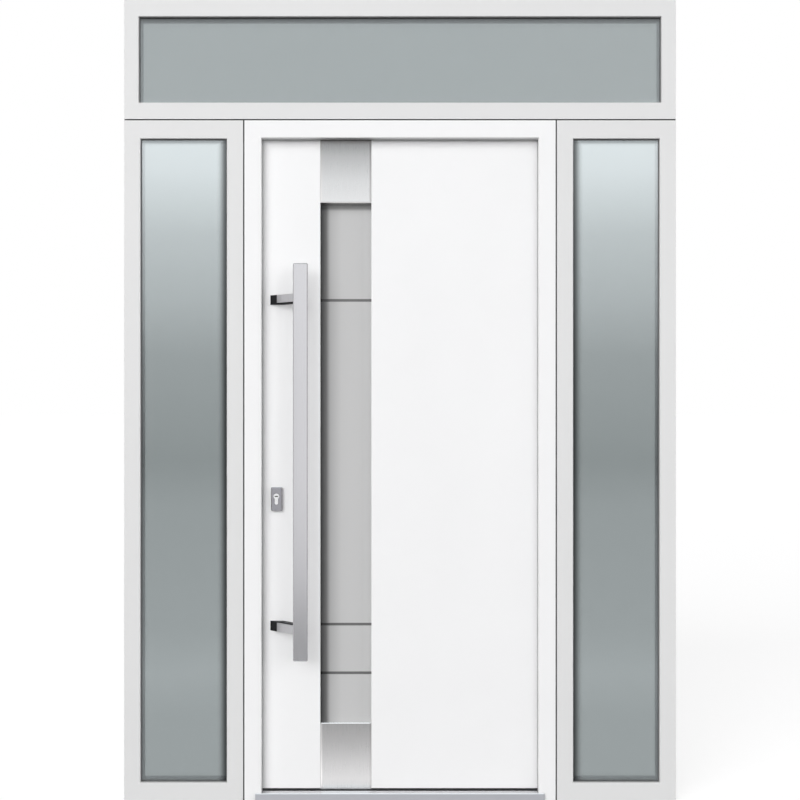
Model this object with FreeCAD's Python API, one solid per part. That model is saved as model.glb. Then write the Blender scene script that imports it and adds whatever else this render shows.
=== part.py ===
import FreeCAD
import Part
import math
import os

# Entrance door with a sidelight on each side and a transom over all three units.
# Millimetres. X runs across the opening, Y from the street side to the room side,
# Z up. The origin lies under the middle of the threshold.

# Coupled units
DOOR_UNIT_WIDTH = 918.0
DOOR_UNIT_HEIGHT = 2008.0
SIDELIGHT_WIDTH = 351.0
TRANSOM_HEIGHT = 351.0
JOINT_GAP = 4.0
JOINT_STRIP_SETBACK = 6.0
JOINT_STRIP_END_GAP = 1.0

# Frame bars: an L section with its lip on the street side
FRAME_DEPTH = 100.0
LIP_DEPTH = 30.0
GLAZING_LIP_DEPTH = 12.0
DOOR_JAMB_FACE = 50.0
DOOR_HEAD_FACE = 51.5
SIDELIGHT_STILE_FACE = 48.0
SIDELIGHT_RAIL_FACE = 54.0
TRANSOM_STILE_FACE = 43.0
TRANSOM_RAIL_FACE = 48.5
GLASS_REBATE = 18.0
LEAF_REBATE = 20.0
ARRIS = 1.5
SAME_PLACE = 0.01

# Fixing screw holes in the outer sides of the frame
FIXING_RADIUS = 4.0
FIXING_DEPTH = 20.0
FIXING_END_DISTANCE = 250.0
FIXING_Y = 15.0

# Fixed glazing
PANE_THICKNESS = 32.0
PANE_EDGE_GAP = 4.0
GASKET_THICKNESS = 3.0
GASKET_SEAT = 8.0
GASKET_SHOW = 2.0
BEAD_SETBACK = 3.0
BEAD_END_GAP = 0.5
BEAD_CHAMFER = 8.0

# Threshold
THRESHOLD_HEIGHT = 20.0
THRESHOLD_NOSE = 8.0
THRESHOLD_NOSE_RISE = 4.0
THRESHOLD_NOSE_CHAMFER = 1.5
THRESHOLD_NOSE_CLEARANCE = 15.0
THRESHOLD_EAR = 17.0
TREAD_GROOVES = 3
TREAD_GROOVE_WIDTH = 1.5
TREAD_GROOVE_DEPTH = 1.0

# Door leaf
LEAF_THICKNESS = 60.0
LEAF_GAP = 5.0
LEAF_BOTTOM_GAP = 5.0
SEAL_GAP = 5.0
SKIN = 1.5
SKIN_FOLD = 26.0
SWEEP_HEIGHT = 3.0
SWEEP_SETBACK = 4.0
SWEEP_END_GAP = 6.0

# Weather seal on the back of the lips
SEAL_WIDTH = 10.0
SEAL_BULB = 3.5
SEAL_SHOW = 0.6
SEAL_CLEARANCE = 0.5

# Glazed slot and steel inlays in the leaf
BAND_FROM_STRIKE = 172.0
BAND_WIDTH = 152.0
SLOT_BOTTOM = 223.0
SLOT_TOP_DROP = 202.0
SLOT_SETBACK = 36.0
SLOT_PANE_THICKNESS = 16.0
SLOT_PANE_OVERLAP = 9.0
SLOT_PANE_GAP = 2.0
LINER = 3.0
TRIM_FLANGE_WIDTH = 16.0
TRIM_FLANGE_THICKNESS = 4.0
CLEAR_LINE_HEIGHTS = (364.0, 510.0, 1482.0)
CLEAR_LINE_WIDTH = 8.0
CLEAR_LINE_DEPTH = 1.0
INLAY_THICKNESS = 3.0
INLAY_BEVEL_WIDTH = 5.5
INLAY_BEVEL_DEPTH = 1.5
INLAY_BEND = 4.0

# Pull handle on two slanted brackets
LOWER_BRACKET_HEIGHT = 512.0
BRACKET_SPACING = 968.0
BRACKET_WIDTH = 38.5
BRACKET_HEIGHT = 28.5
BRACKET_PLATE = 5.0
LOWER_PLATE_SHORT = 2.5
UPPER_PLATE_SHORT = 5.0
FOOT_DEPTH = 21.0
BAR_OVERHANG_ABOVE = 102.0
BAR_OVERHANG_BELOW = 91.0
BAR_WIDTH = 43.0
BAR_THICKNESS = 20.0
BAR_STANDOFF = 65.0
BAR_CHAMFER = 2.5
BAR_SIDE_SHIFT = 76.0

# Lock
LOCK_BACKSET = 57.5
LOCK_HEIGHT = 889.0
ESCUTCHEON_WIDTH = 32.0
ESCUTCHEON_HEIGHT = 70.0
ESCUTCHEON_THICKNESS = 14.0
ESCUTCHEON_CORNER = 3.0
ESCUTCHEON_CHAMFER = 2.5
PROFILE_HEAD_RADIUS = 8.5
PROFILE_TAIL_WIDTH = 10.0
PROFILE_HEIGHT = 33.0
PROFILE_CLEARANCE = 0.5
CYLINDER_PROUD = 1.0
PLUG_RING_WIDTH = 0.8
PLUG_RADIUS = 6.4
KEYWAY_WIDTH = 10.0
KEYWAY_HEIGHT = 3.0
KEYWAY_DEPTH = 5.0
BACKPLATE_WIDTH = 44.0
BACKPLATE_HEIGHT = 230.0
BACKPLATE_THICKNESS = 8.0
BACKPLATE_CORNER = 6.0
BACKPLATE_CHAMFER = 1.5
BACKPLATE_TOP_OVER_LEVER = 60.0
LEVER_RISE = 92.0
LEVER_RADIUS = 9.5
LEVER_STANDOFF = 44.0
LEVER_BEND = 20.0
LEVER_LENGTH = 132.0
LEVER_END_ROUNDING = 3.0
ROSE_RADIUS = 17.0
ROSE_THICKNESS = 5.0
ROSE_CHAMFER = 1.5
FACEPLATE_WIDTH = 24.0
FACEPLATE_THICKNESS = 3.0
FACEPLATE_BELOW = 70.0
FACEPLATE_ABOVE = 170.0
BOLT_LENGTH = 40.0
BOLT_CLEARANCE = 0.5
BOLT_RECESS = 0.2
LATCH_HEIGHT = 30.0
LATCH_THICKNESS = 12.0
DEADBOLT_RISE = 22.0
DEADBOLT_HEIGHT = 38.0
DEADBOLT_THICKNESS = 15.0
STRIKE_THICKNESS = 2.0
STRIKE_POCKET_DEPTH = 18.0
STRIKE_POCKET_MARGIN = 2.0

# Hinges on the room side
HINGE_AXIS_OUT = 12.0
HINGE_END_DISTANCE = 220.0
HINGE_HALF_HEIGHT = 58.0
KNUCKLE_RADIUS = 10.0
KNUCKLE_CHAMFER = 2.0
KNUCKLE_GAP = 0.3
PIN_RADIUS = 6.0
PIN_CLEARANCE = 0.08
PIN_REACH = 44.0
PIN_ROOT = 20.0
HINGE_PLATE_THICKNESS = 5.0
HINGE_PLATE_MARGIN = 2.0
HINGE_PLATE_CORNER = 6.0
LEAF_PLATE_WIDTH = 38.0
LEAF_PLATE_INSET = 3.0
HINGE_WEB = 10.0

# Positions that follow from the sizes above
DOOR_HALF = DOOR_UNIT_WIDTH / 2
UNIT_HALF = DOOR_HALF + JOINT_GAP + SIDELIGHT_WIDTH
TRANSOM_BOTTOM = DOOR_UNIT_HEIGHT + JOINT_GAP
TRANSOM_TOP = TRANSOM_BOTTOM + TRANSOM_HEIGHT
FRONT = -FRAME_DEPTH / 2
BACK = FRAME_DEPTH / 2
LIP_BACK = FRONT + LIP_DEPTH
GLAZING_LIP_BACK = FRONT + GLAZING_LIP_DEPTH
PANE_FRONT = GLAZING_LIP_BACK + GASKET_THICKNESS
PANE_BACK = PANE_FRONT + PANE_THICKNESS
CLEAR_HALF = DOOR_HALF - DOOR_JAMB_FACE
REBATE_HALF = CLEAR_HALF + LEAF_REBATE
CLEAR_TOP = DOOR_UNIT_HEIGHT - DOOR_HEAD_FACE
REBATE_TOP = CLEAR_TOP + LEAF_REBATE
LEAF_FRONT = LIP_BACK + SEAL_GAP
LEAF_BACK = LEAF_FRONT + LEAF_THICKNESS
LEAF_RIGHT = REBATE_HALF - LEAF_GAP
LEAF_TOP = REBATE_TOP - LEAF_GAP
LEAF_BOTTOM = THRESHOLD_HEIGHT + LEAF_BOTTOM_GAP
SKIN_BOTTOM = LEAF_BOTTOM + SWEEP_HEIGHT
HINGE_X = REBATE_HALF - LEAF_GAP / 2
HINGE_Y = BACK + HINGE_AXIS_OUT
SWING_RADIUS = HINGE_X + REBATE_HALF - LEAF_GAP
BAND_LEFT = BAND_FROM_STRIKE - CLEAR_HALF
BAND_RIGHT = BAND_LEFT + BAND_WIDTH
SLOT_TOP = LEAF_TOP - SLOT_TOP_DROP
SLOT_PANE_FRONT = LEAF_FRONT + SLOT_SETBACK
SLOT_PANE_BACK = SLOT_PANE_FRONT + SLOT_PANE_THICKNESS
LOCK_X = LEAF_GAP - REBATE_HALF + LOCK_BACKSET
LEVER_Z = LOCK_HEIGHT + LEVER_RISE
PROFILE_HEAD_Z = LOCK_HEIGHT + PROFILE_HEIGHT / 2 - PROFILE_HEAD_RADIUS
BAR_X = LOCK_X + BAR_SIDE_SHIFT
BAR_BACK = LEAF_FRONT - BAR_STANDOFF
BAR_MIDDLE = BAR_BACK - BAR_THICKNESS / 2
BRACKET_SLOPE = BAR_SIDE_SHIFT / (LEAF_FRONT - BAR_MIDDLE)
UPPER_BRACKET_HEIGHT = LOWER_BRACKET_HEIGHT + BRACKET_SPACING


def point(x, y, z):
    return FreeCAD.Vector(x, y, z)


def block(x_span, y_span, z_span):
    size = [span[1] - span[0] for span in (x_span, y_span, z_span)]
    return Part.makeBox(*size, point(x_span[0], y_span[0], z_span[0]))


def prism(corners, travel):
    return Part.Face(Part.makePolygon(corners + corners[:1])).extrude(travel)


def upright(plan, z_span):
    # Prism along Z on a plan outline of (x, y) points.
    corners = [point(x, y, z_span[0]) for x, y in plan]
    return prism(corners, point(0, 0, z_span[1] - z_span[0]))


def crosswise(section, x_span):
    # Prism along X on an outline of (y, z) points.
    corners = [point(x_span[0], y, z) for y, z in section]
    return prism(corners, point(x_span[1] - x_span[0], 0, 0))


def centred(middle, size):
    return (middle - size / 2, middle + size / 2)


def grown(span, amount):
    return (span[0] - amount, span[1] + amount)


def ring(x_span, z_span, outside, inside, y_span):
    # Rectangular ring around an opening, measured outwards from its edge.
    outer = block(grown(x_span, outside), y_span, grown(z_span, outside))
    return outer.cut(block(grown(x_span, inside), y_span, grown(z_span, inside)))


def chamfered_block(x_span, y_span, z_span, chamfer):
    solid = block(x_span, y_span, z_span)
    return solid.makeChamfer(chamfer, solid.Edges)


def edges_at(shape, x=None, y=None, z=None):
    # Edges whose ends all lie at the coordinates that are given.
    places = [(axis, place) for axis, place in zip("xyz", (x, y, z)) if place is not None]
    found = []
    for edge in shape.Edges:
        ends = [vertex.Point for vertex in edge.Vertexes]
        if all(abs(getattr(end, axis) - place) < SAME_PLACE for end in ends for axis, place in places):
            found.append(edge)
    return found


def save(name, *shapes):
    solids = [solid for shape in shapes for solid in shape.Solids]
    piece = solids[0] if len(solids) == 1 else Part.makeCompound(solids)
    piece.exportStep("parts/" + name + ".step")


def lip_section(face, rebate, lip_back):
    # L section as (distance in from the outer side, depth).
    leg = face - rebate
    return [
        (0, FRONT),
        (face - ARRIS, FRONT),
        (face, FRONT + ARRIS),
        (face, lip_back),
        (leg, lip_back),
        (leg, BACK - ARRIS),
        (leg - ARRIS, BACK),
        (0, BACK),
    ]


def stile(outer_x, inward, section, z_span):
    plan = [(outer_x + inward * u, y) for u, y in section]
    return upright(plan, z_span)


def rail(outer_z, inward, section, stiles, x_span):
    # The rail is scribed to the two stiles it meets.
    bar = crosswise([(y, outer_z + inward * u) for u, y in section], x_span)
    for upright_bar in stiles:
        bar = bar.cut(upright_bar)
    return bar


def glazing_beads(x_span, z_span):
    # Four room-side beads around the sight opening, chamfered towards the glass.
    back = BACK - BEAD_SETBACK
    section = [
        (0, PANE_BACK),
        (GLASS_REBATE, PANE_BACK),
        (GLASS_REBATE, back - BEAD_CHAMFER),
        (GLASS_REBATE - BEAD_CHAMFER, back),
        (0, back),
    ]
    outer_x = grown(x_span, GLASS_REBATE)
    outer_z = grown(z_span, GLASS_REBATE)
    short_z = grown(z_span, -BEAD_END_GAP)
    beads = []
    for side, inward in ((0, 1), (1, -1)):
        lying = [(y, outer_z[side] + inward * u) for u, y in section]
        beads.append(crosswise(lying, outer_x))
        standing = [(outer_x[side] + inward * u, y) for u, y in section]
        beads.append(upright(standing, short_z))
    return beads


def fixing_hole(start, inward):
    return Part.makeCylinder(FIXING_RADIUS, FIXING_DEPTH, start, inward)


def glazed_unit(name, x_span, z_span, stile_face, rail_face, fixings):
    standing = lip_section(stile_face, GLASS_REBATE, GLAZING_LIP_BACK)
    lying = lip_section(rail_face, GLASS_REBATE, GLAZING_LIP_BACK)
    left = stile(x_span[0], 1, standing, z_span)
    right = stile(x_span[1], -1, standing, z_span)
    pair = (left, right)
    top = rail(z_span[1], -1, lying, pair, x_span)
    bottom = rail(z_span[0], 1, lying, pair, x_span)
    bars = {"left_stile": left, "right_stile": right, "top_rail": top, "bottom_rail": bottom}
    for bar, hole in fixings:
        bars[bar] = bars[bar].cut(hole)
    for bar, solid in bars.items():
        save(name + "_" + bar, solid)
    sight_x = grown(x_span, -stile_face)
    sight_z = grown(z_span, -rail_face)
    pane_lap = GLASS_REBATE - PANE_EDGE_GAP
    pane = block(grown(sight_x, pane_lap), (PANE_FRONT, PANE_BACK), grown(sight_z, pane_lap))
    save(name + "_glass", pane)
    gasket = ring(sight_x, sight_z, GASKET_SEAT, -GASKET_SHOW, (GLAZING_LIP_BACK, PANE_FRONT))
    save(name + "_gasket", gasket)
    save(name + "_beads", *glazing_beads(sight_x, sight_z))


def glazed_units():
    side_heights = (FIXING_END_DISTANCE, DOOR_UNIT_HEIGHT - FIXING_END_DISTANCE)
    wall_holes = {}
    for side, stile_name in ((-1, "left_stile"), (1, "right_stile")):
        starts = [point(side * UNIT_HALF, FIXING_Y, z) for z in side_heights]
        holes = [fixing_hole(start, point(-side, 0, 0)) for start in starts]
        wall_holes[side] = [(stile_name, hole) for hole in holes]
    head_x = UNIT_HALF - FIXING_END_DISTANCE
    head_starts = [point(x, FIXING_Y, TRANSOM_TOP) for x in (-head_x, head_x)]
    head_holes = [("top_rail", fixing_hole(start, point(0, 0, -1))) for start in head_starts]
    heights = (0, DOOR_UNIT_HEIGHT)
    left_x = (-UNIT_HALF, SIDELIGHT_WIDTH - UNIT_HALF)
    right_x = (UNIT_HALF - SIDELIGHT_WIDTH, UNIT_HALF)
    faces = (SIDELIGHT_STILE_FACE, SIDELIGHT_RAIL_FACE)
    glazed_unit("left_sidelight", left_x, heights, *faces, wall_holes[-1])
    glazed_unit("right_sidelight", right_x, heights, *faces, wall_holes[1])
    transom_z = (TRANSOM_BOTTOM, TRANSOM_TOP)
    transom_faces = (TRANSOM_STILE_FACE, TRANSOM_RAIL_FACE)
    glazed_unit("transom", (-UNIT_HALF, UNIT_HALF), transom_z, *transom_faces, head_holes)


def coupling_strips():
    depth = (FRONT + JOINT_STRIP_SETBACK, BACK - JOINT_STRIP_SETBACK)
    level = block((-UNIT_HALF, UNIT_HALF), depth, (DOOR_UNIT_HEIGHT, TRANSOM_BOTTOM))
    height = (0, DOOR_UNIT_HEIGHT - JOINT_STRIP_END_GAP)
    left = block((-DOOR_HALF - JOINT_GAP, -DOOR_HALF), depth, height)
    right = block((DOOR_HALF, DOOR_HALF + JOINT_GAP), depth, height)
    save("coupling_strips", level, left, right)


def bolt_sizes():
    # Height, tallness and thickness of the latch and the deadbolt.
    latch = (LEVER_Z, LATCH_HEIGHT, LATCH_THICKNESS)
    deadbolt = (LOCK_HEIGHT + DEADBOLT_RISE, DEADBOLT_HEIGHT, DEADBOLT_THICKNESS)
    return (latch, deadbolt)


def door_frame():
    height = (0, DOOR_UNIT_HEIGHT)
    standing = lip_section(DOOR_JAMB_FACE, LEAF_REBATE, LIP_BACK)
    strike_jamb = stile(-DOOR_HALF, 1, standing, height)
    hinge_jamb = stile(DOOR_HALF, -1, standing, height)
    jambs = (strike_jamb, hinge_jamb)
    across = (-DOOR_HALF, DOOR_HALF)
    lying = lip_section(DOOR_HEAD_FACE, LEAF_REBATE, LIP_BACK)
    head = rail(DOOR_UNIT_HEIGHT, -1, lying, jambs, across)
    save("door_frame_head", head)
    save("door_frame_hinge_jamb", hinge_jamb)
    plate = strike_plate()
    pockets = strike_pockets(STRIKE_POCKET_DEPTH)
    save("door_frame_strike_jamb", strike_jamb.cut(plate).cut(Part.makeCompound(pockets)))
    save("strike_plate", plate.cut(Part.makeCompound(pockets)))
    threshold(jambs)
    weather_seal()


def strike_plate():
    depth = centred((LEAF_FRONT + LEAF_BACK) / 2, FACEPLATE_WIDTH)
    height = (LOCK_HEIGHT - FACEPLATE_BELOW, LOCK_HEIGHT + FACEPLATE_ABOVE)
    return block((-REBATE_HALF - STRIKE_THICKNESS, -REBATE_HALF), depth, height)


def strike_pockets(deep):
    middle = (LEAF_FRONT + LEAF_BACK) / 2
    pockets = []
    for z, tall, thick in bolt_sizes():
        depth = centred(middle, thick + 2 * STRIKE_POCKET_MARGIN)
        height = centred(z, tall + 2 * STRIKE_POCKET_MARGIN)
        pockets.append(block((-REBATE_HALF - deep, -REBATE_HALF), depth, height))
    return pockets


def threshold(jambs):
    # The grooved nose stands up in front of the leaf; the part under the leaf is lower.
    nose = FRONT - THRESHOLD_NOSE
    step = LEAF_FRONT - THRESHOLD_NOSE_CLEARANCE
    tread = THRESHOLD_HEIGHT + THRESHOLD_NOSE_RISE
    chamfer = THRESHOLD_NOSE_CHAMFER
    section = [(nose, 0), (nose, tread - chamfer), (nose + chamfer, tread)]
    pitch = (step - nose) / (TREAD_GROOVES + 1)
    floor = tread - TREAD_GROOVE_DEPTH
    for index in range(TREAD_GROOVES):
        start, end = centred(nose + (index + 1) * pitch, TREAD_GROOVE_WIDTH)
        section += [(start, tread), (start, floor), (end, floor), (end, tread)]
    section += [(step, tread), (step, THRESHOLD_HEIGHT), (BACK, THRESHOLD_HEIGHT), (BACK, 0)]
    bar = crosswise(section, (-REBATE_HALF, REBATE_HALF))
    for jamb in jambs:
        bar = bar.cut(jamb)
    nose_half = CLEAR_HALF + THRESHOLD_EAR
    for ends in ((-REBATE_HALF, -nose_half), (nose_half, REBATE_HALF)):
        bar = bar.cut(block(ends, (nose, FRONT), (0, tread)))
    save("threshold", bar)


def weather_seal():
    depth = (LIP_BACK, LEAF_FRONT - SEAL_CLEARANCE)
    near = CLEAR_HALF - SEAL_SHOW
    far = near + SEAL_WIDTH
    low = CLEAR_TOP - SEAL_SHOW
    level = block((-far, far), depth, (low, low + SEAL_WIDTH))
    height = (THRESHOLD_HEIGHT, low - SEAL_CLEARANCE)
    left = block((-far, -near), depth, height)
    right = block((near, far), depth, height)
    bulbs = [edges_at(level, y=depth[1], z=z) for z in (low, low + SEAL_WIDTH)]
    strips = [level.makeFillet(SEAL_BULB, sum(bulbs, []))]
    for strip, ends in ((left, (-far, -near)), (right, (near, far))):
        bulbs = [edges_at(strip, x=x, y=depth[1]) for x in ends]
        strips.append(strip.makeFillet(SEAL_BULB, sum(bulbs, [])))
    save("door_seal", *strips)


def lock_edge(y):
    # The lock edge is bevelled so that it swings inside the strike jamb by the leaf gap.
    reaches = [math.sqrt(SWING_RADIUS ** 2 - (HINGE_Y - end) ** 2) for end in (LEAF_FRONT, LEAF_BACK)]
    near, far = [HINGE_X - reach for reach in reaches]
    return near + (far - near) * (y - LEAF_FRONT) / LEAF_THICKNESS


def leaf_plan(inset, y_span):
    near, far = y_span
    return [
        (lock_edge(near) + inset, near),
        (LEAF_RIGHT - inset, near),
        (LEAF_RIGHT - inset, far),
        (lock_edge(far) + inset, far),
    ]


def leaf_cuts():
    # Everything that the skins and the core are cut away for.
    band = (BAND_LEFT, BAND_RIGHT)
    slot_z = (SLOT_BOTTOM, SLOT_TOP)
    pane_reach = SLOT_PANE_OVERLAP + SLOT_PANE_GAP
    lined = (LEAF_FRONT + SKIN, SLOT_PANE_FRONT)
    front = block(grown(band, LINER), lined, grown(slot_z, INLAY_THICKNESS))
    rear = block(grown(band, pane_reach), (SLOT_PANE_FRONT, LEAF_BACK), grown(slot_z, pane_reach))
    inlay = block(band, (LEAF_FRONT, LEAF_FRONT + INLAY_THICKNESS), (SKIN_BOTTOM, LEAF_TOP))
    return [front, rear, inlay, faceplate_blank()]


def leaf_shell():
    cuts = Part.makeCompound(leaf_cuts() + [profile_hole(PROFILE_CLEARANCE)])
    inner_z = (SKIN_BOTTOM + SKIN, LEAF_TOP - SKIN)
    outer_y = (LEAF_FRONT, LEAF_FRONT + SKIN_FOLD)
    inner_y = (LEAF_BACK - SKIN_FOLD, LEAF_BACK)
    hollows = ((LEAF_FRONT + SKIN, outer_y[1]), (inner_y[0], LEAF_BACK - SKIN))
    names = ("leaf_outer_skin", "leaf_inner_skin")
    for name, depth, hollow in zip(names, (outer_y, inner_y), hollows):
        pan = upright(leaf_plan(0, depth), (SKIN_BOTTOM, LEAF_TOP))
        pan = pan.cut(upright(leaf_plan(SKIN, hollow), inner_z))
        save(name, pan.cut(cuts))
    core = upright(leaf_plan(SKIN, (LEAF_FRONT + SKIN, LEAF_BACK - SKIN)), inner_z)
    core = core.cut(Part.makeCompound(leaf_cuts() + [profile_hole(0)] + bolts()))
    save("leaf_core", core)


def folded_inlay(z_span, slot_edge, inward):
    # Plate flush with the leaf face, bent back at the slot to make its ledge.
    band = (BAND_LEFT, BAND_RIGHT)
    back = LEAF_FRONT + INLAY_THICKNESS
    ledge_z = sorted((slot_edge, slot_edge + inward * INLAY_THICKNESS))
    face = block(band, (LEAF_FRONT, back), z_span)
    sheet = face.fuse(block(band, (LEAF_FRONT, SLOT_PANE_FRONT), ledge_z)).removeSplitter()
    sheet = sheet.makeFillet(INLAY_BEND, edges_at(sheet, y=LEAF_FRONT, z=slot_edge))
    shoulder = LEAF_FRONT + INLAY_BEVEL_DEPTH
    plan = [
        (band[0], SLOT_PANE_FRONT),
        (band[0], shoulder),
        (band[0] + INLAY_BEVEL_WIDTH, LEAF_FRONT),
        (band[1] - INLAY_BEVEL_WIDTH, LEAF_FRONT),
        (band[1], shoulder),
        (band[1], SLOT_PANE_FRONT),
    ]
    return sheet.common(upright(plan, z_span))


def slot_and_inlays():
    band = (BAND_LEFT, BAND_RIGHT)
    slot_z = (SLOT_BOTTOM, SLOT_TOP)
    save("top_inlay_plate", folded_inlay((SLOT_TOP, LEAF_TOP), SLOT_TOP, 1))
    save("bottom_inlay_plate", folded_inlay((LEAF_BOTTOM, SLOT_BOTTOM), SLOT_BOTTOM, -1))
    lined = (LEAF_FRONT + SKIN, SLOT_PANE_FRONT)
    walls = ((BAND_LEFT - LINER, BAND_LEFT), (BAND_RIGHT, BAND_RIGHT + LINER))
    save("slot_liner", *[block(wall, lined, grown(slot_z, INLAY_THICKNESS)) for wall in walls])
    pane_x = grown(band, SLOT_PANE_OVERLAP)
    pane = block(pane_x, (SLOT_PANE_FRONT, SLOT_PANE_BACK), grown(slot_z, SLOT_PANE_OVERLAP))
    for z in CLEAR_LINE_HEIGHTS:
        groove = (SLOT_PANE_FRONT, SLOT_PANE_FRONT + CLEAR_LINE_DEPTH)
        pane = pane.cut(block(pane_x, groove, centred(z, CLEAR_LINE_WIDTH)))
    save("slot_glass", pane)
    plug = SLOT_PANE_OVERLAP + SLOT_PANE_GAP
    trim = ring(band, slot_z, plug, 0, (SLOT_PANE_BACK, LEAF_BACK))
    flange_y = (LEAF_BACK, LEAF_BACK + TRIM_FLANGE_THICKNESS)
    flange = ring(band, slot_z, plug + TRIM_FLANGE_WIDTH, 0, flange_y)
    save("slot_inner_trim", trim.fuse(flange).removeSplitter())


def bottom_sweep():
    depth = (LEAF_FRONT + SWEEP_SETBACK, LEAF_BACK - SWEEP_SETBACK)
    ends = (lock_edge(LEAF_FRONT) + SWEEP_END_GAP, LEAF_RIGHT - SWEEP_END_GAP)
    save("bottom_sweep", block(ends, depth, (LEAF_BOTTOM, SKIN_BOTTOM)))


def slanted_arm(z_span, reaches, sides):
    # Arm leaning sideways from the lock line towards the bar, between two stand-offs.
    left = LOCK_X - BRACKET_WIDTH / 2
    near, far = reaches
    plan = []
    for reach, side in ((near, sides[0]), (near, sides[1]), (far, sides[1]), (far, sides[0])):
        plan.append((left + side + reach * BRACKET_SLOPE, LEAF_FRONT - reach))
    return upright(plan, z_span)


def pull_handle():
    # Steel plates face the slanted arms; the black feet fill the arms behind them and
    # show below the upper plate and above the lower one.
    depth = (BAR_BACK - BAR_THICKNESS, BAR_BACK)
    bar_z = (LOWER_BRACKET_HEIGHT - BAR_OVERHANG_BELOW, UPPER_BRACKET_HEIGHT + BAR_OVERHANG_ABOVE)
    bar = chamfered_block(centred(BAR_X, BAR_WIDTH), depth, bar_z, BAR_CHAMFER)
    save("pull_bar", bar)
    reach = LEAF_FRONT - BAR_MIDDLE
    plate_side = BRACKET_PLATE * math.hypot(1, BRACKET_SLOPE)
    plates = []
    feet = []
    lower = centred(LOWER_BRACKET_HEIGHT, BRACKET_HEIGHT)
    upper = centred(UPPER_BRACKET_HEIGHT, BRACKET_HEIGHT)
    lower_plate = (lower[0], lower[1] - LOWER_PLATE_SHORT)
    upper_plate = (upper[0] + UPPER_PLATE_SHORT, upper[1])
    for whole, faced in ((lower, lower_plate), (upper, upper_plate)):
        plates.append(slanted_arm(faced, (FOOT_DEPTH, reach), (0, plate_side)).cut(bar))
        foot = slanted_arm(whole, (0, FOOT_DEPTH), (0, BRACKET_WIDTH))
        filling = slanted_arm(whole, (FOOT_DEPTH, reach), (plate_side, BRACKET_WIDTH)).cut(bar)
        feet.append(foot.fuse(filling).removeSplitter())
    save("pull_brackets", *plates)
    save("pull_feet", *feet)


def profile_hole(clearance):
    street_face = LEAF_FRONT - ESCUTCHEON_THICKNESS
    return cylinder_profile(clearance, (street_face, LEAF_BACK + BACKPLATE_THICKNESS))


def cylinder_profile(clearance, y_span):
    # Round head over a narrower round-ended tail.
    start, length = y_span[0], y_span[1] - y_span[0]
    along = point(0, 1, 0)
    tail = PROFILE_TAIL_WIDTH / 2
    tail_z = PROFILE_HEAD_Z + PROFILE_HEAD_RADIUS - PROFILE_HEIGHT + tail
    head_start = point(LOCK_X, start, PROFILE_HEAD_Z)
    head = Part.makeCylinder(PROFILE_HEAD_RADIUS + clearance, length, head_start, along)
    foot = Part.makeCylinder(tail + clearance, length, point(LOCK_X, start, tail_z), along)
    neck = block(grown((LOCK_X, LOCK_X), tail + clearance), y_span, (tail_z, PROFILE_HEAD_Z))
    return head.fuse([foot, neck]).removeSplitter()


def rounded_plate(width, height, corner, middle_z, y_span):
    plate = block(centred(LOCK_X, width), y_span, centred(middle_z, height))
    corners = [edge for edge in plate.Edges if edge.BoundBox.YLength > SAME_PLACE]
    return plate.makeFillet(corner, corners)


def lock_furniture():
    outer_y = (LEAF_FRONT - ESCUTCHEON_THICKNESS, LEAF_FRONT)
    escutcheon = (ESCUTCHEON_WIDTH, ESCUTCHEON_HEIGHT, ESCUTCHEON_CORNER)
    plate = rounded_plate(*escutcheon, LOCK_HEIGHT, outer_y)
    plate = plate.makeChamfer(ESCUTCHEON_CHAMFER, edges_at(plate, y=outer_y[0]))
    save("cylinder_escutcheon", plate.cut(profile_hole(PROFILE_CLEARANCE)))
    inner_y = (LEAF_BACK, LEAF_BACK + BACKPLATE_THICKNESS)
    middle = LEVER_Z + BACKPLATE_TOP_OVER_LEVER - BACKPLATE_HEIGHT / 2
    backplate = rounded_plate(BACKPLATE_WIDTH, BACKPLATE_HEIGHT, BACKPLATE_CORNER, middle, inner_y)
    backplate = backplate.makeChamfer(BACKPLATE_CHAMFER, edges_at(backplate, y=inner_y[1]))
    save("inside_backplate", backplate.cut(profile_hole(PROFILE_CLEARANCE)))
    save("lock_cylinder", lock_cylinder(outer_y[0] - CYLINDER_PROUD, inner_y[1] + CYLINDER_PROUD))
    save("inside_lever", inside_lever(inner_y[1]))


def lock_cylinder(street_end, room_end):
    # Cylinder with a turned groove round the plug and a lying keyway at its street end.
    body = cylinder_profile(0, (street_end, room_end))
    start = point(LOCK_X, street_end, PROFILE_HEAD_Z)
    along = point(0, 1, 0)
    groove = Part.makeCylinder(PLUG_RADIUS + PLUG_RING_WIDTH, PLUG_RING_WIDTH, start, along)
    groove = groove.cut(Part.makeCylinder(PLUG_RADIUS, PLUG_RING_WIDTH, start, along))
    key_y = (street_end, street_end + KEYWAY_DEPTH)
    keyway = block(centred(LOCK_X, KEYWAY_WIDTH), key_y, centred(PROFILE_HEAD_Z, KEYWAY_HEIGHT))
    return body.cut(groove).cut(keyway)


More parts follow.
